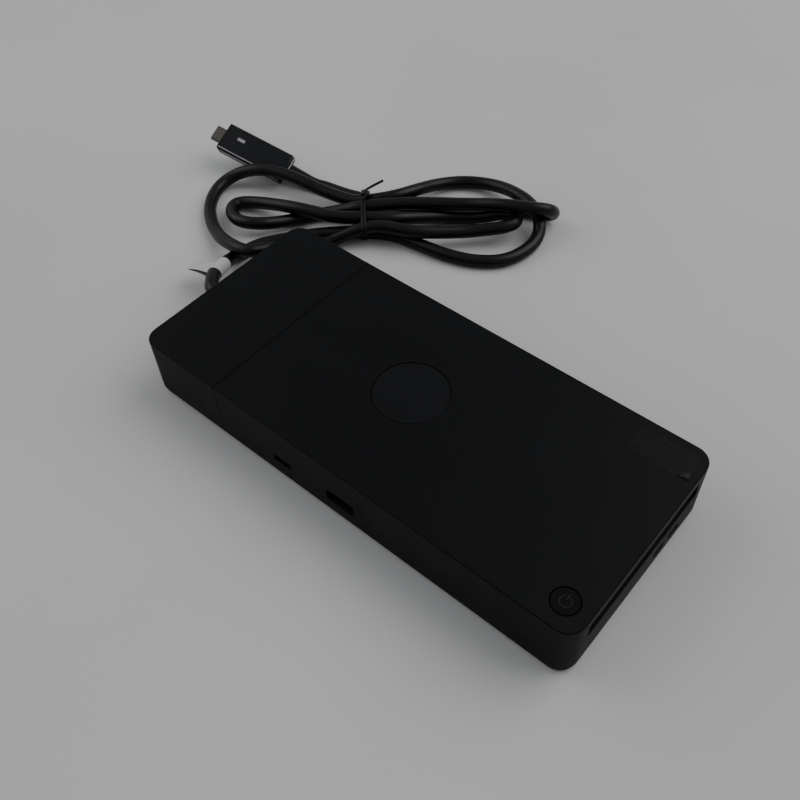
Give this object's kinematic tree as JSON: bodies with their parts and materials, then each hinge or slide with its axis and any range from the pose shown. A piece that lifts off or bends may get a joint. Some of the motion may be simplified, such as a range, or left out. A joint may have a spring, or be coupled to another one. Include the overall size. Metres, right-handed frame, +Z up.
{
  "type": "laptop docking station",
  "caption": "Slim desktop docking station with a screwed-on cable module, rear and front ports, a power button, a blower fan and a tied host cable.",
  "frame": {"origin": "middle of the dock casing footprint, on the surface the rubber pads stand on; the host cable and its plug do not count", "axes": "+X along the casing towards the end with the air grille and lock slots, +Y from the two-port front towards the port row at the rear, +Z up"},
  "size_m": [0.3048, 0.199, 0.0291],
  "materials": {
    "casing_plastic": "fine moulded texture, near-black",
    "base_plastic": "near-black, slightly rougher",
    "grille_plastic": "dark grey",
    "emblem_plastic": "satin dark disc, blank",
    "film_clear": "thin clear film",
    "button_plastic": "near-black",
    "icon_white": "translucent white",
    "icon_grey": "smoked translucent",
    "switch_plastic": "black",
    "rubber": "soft black",
    "steel": "zinc plated",
    "port_steel": "nickel plated",
    "port_plastic": "black insert",
    "socket_plastic": "black moulding",
    "contact_gold": "gold plated",
    "board_green": "solder mask",
    "chip_black": "moulded package",
    "pad_grey": "soft thermal pad",
    "spreader_aluminium": "bare, extruded",
    "coil_grey": "moulded ferrite",
    "can_aluminium": "drawn can",
    "fan_plastic": "black",
    "fan_copper": "enamelled winding",
    "cable_rubber": "semi-gloss black jacket",
    "plug_plastic": "charcoal under a clear film",
    "plug_metal": "warm nickel",
    "paper": "blank white label",
    "tie_black": "plastic-coated wire"
  },
  "bodies": {
    "dock_body": {"board_screws": "steel", "cable_exit_boot": "cable_rubber", "cable_hank": "cable_rubber", "cable_label": "paper", "cable_lead": "cable_rubber", "cable_tail": "cable_rubber", "capacitors": "can_aluminium", "end_grille": "grille_plastic", "fan_bearing": "contact_gold", "fan_housing": "fan_plastic", "fan_lid": "fan_plastic", "fan_stator": "fan_copper", "front_usb_a_shell": "port_steel", "front_usb_a_tongue": "port_plastic", "front_usb_c_shell": "port_steel", "front_usb_c_tongue": "port_plastic", "heat_spreader": "spreader_aluminium", "hub_chip": "chip_black", "lock_slot_bracket": "steel", "main_board": "board_green", "main_bottom_cover": "base_plastic", "main_cover_screws": "steel", "main_top_cover": "casing_plastic", "module_board": "board_green", "module_bottom_cover": "base_plastic", "module_cover_screws": "steel", "module_link_plug": "socket_plastic", "module_link_socket": "socket_plastic", "module_top_cover": "casing_plastic", "network_socket_contacts": "contact_gold", "network_socket_housing": "socket_plastic", "plug_body": "plug_plastic", "plug_boot": "cable_rubber", "plug_light_window": "icon_white", "plug_shell": "plug_metal", "power_inductors": "coil_grey", "power_inlet_housing": "socket_plastic", "power_inlet_pin": "contact_gold", "rear_display_port_shell": "port_steel", "rear_display_port_tongue": "port_plastic", "rear_usb_a_shell": "port_steel", "rear_usb_a_tongue": "port_plastic", "rear_usb_c_shell": "port_steel", "rear_usb_c_tongue": "port_plastic", "rear_video_port_shell": "port_steel", "rear_video_port_tongue": "port_plastic", "rubber_feet": "rubber", "small_chips": "chip_black", "switch_board": "board_green", "switch_body": "switch_plastic", "thermal_pad": "pad_grey", "top_emblem_disc": "emblem_plastic", "top_film_label": "film_clear", "twist_tie": "tie_black"},
    "button_body": {"power_button": "button_plastic", "power_button_icon": "icon_grey"},
    "plunger_body": {"switch_plunger": "switch_plastic"},
    "fan_body": {"fan_impeller": "fan_plastic", "fan_shaft": "steel"}
  },
  "joints": [
    {"name": "button_press", "type": "slide", "parent": "dock_body", "child": "button_body", "axis": [0, 0, -1], "range_m": [0, 0.0005], "stiffness_N_per_m": 3000},
    {"name": "plunger_press", "type": "slide", "parent": "dock_body", "child": "plunger_body", "axis": [0, 0, -1], "range_m": [0, 0.0005], "stiffness_N_per_m": 600},
    {"name": "fan_spin", "type": "hinge", "parent": "dock_body", "child": "fan_body", "pos_m": [0.064, -0.006, 0.019], "axis": [0, 0, 1], "continuous": true}
  ],
  "couplings": [
    {"joint": "plunger_press", "follows": "button_press", "ratio": 1}
  ]
}
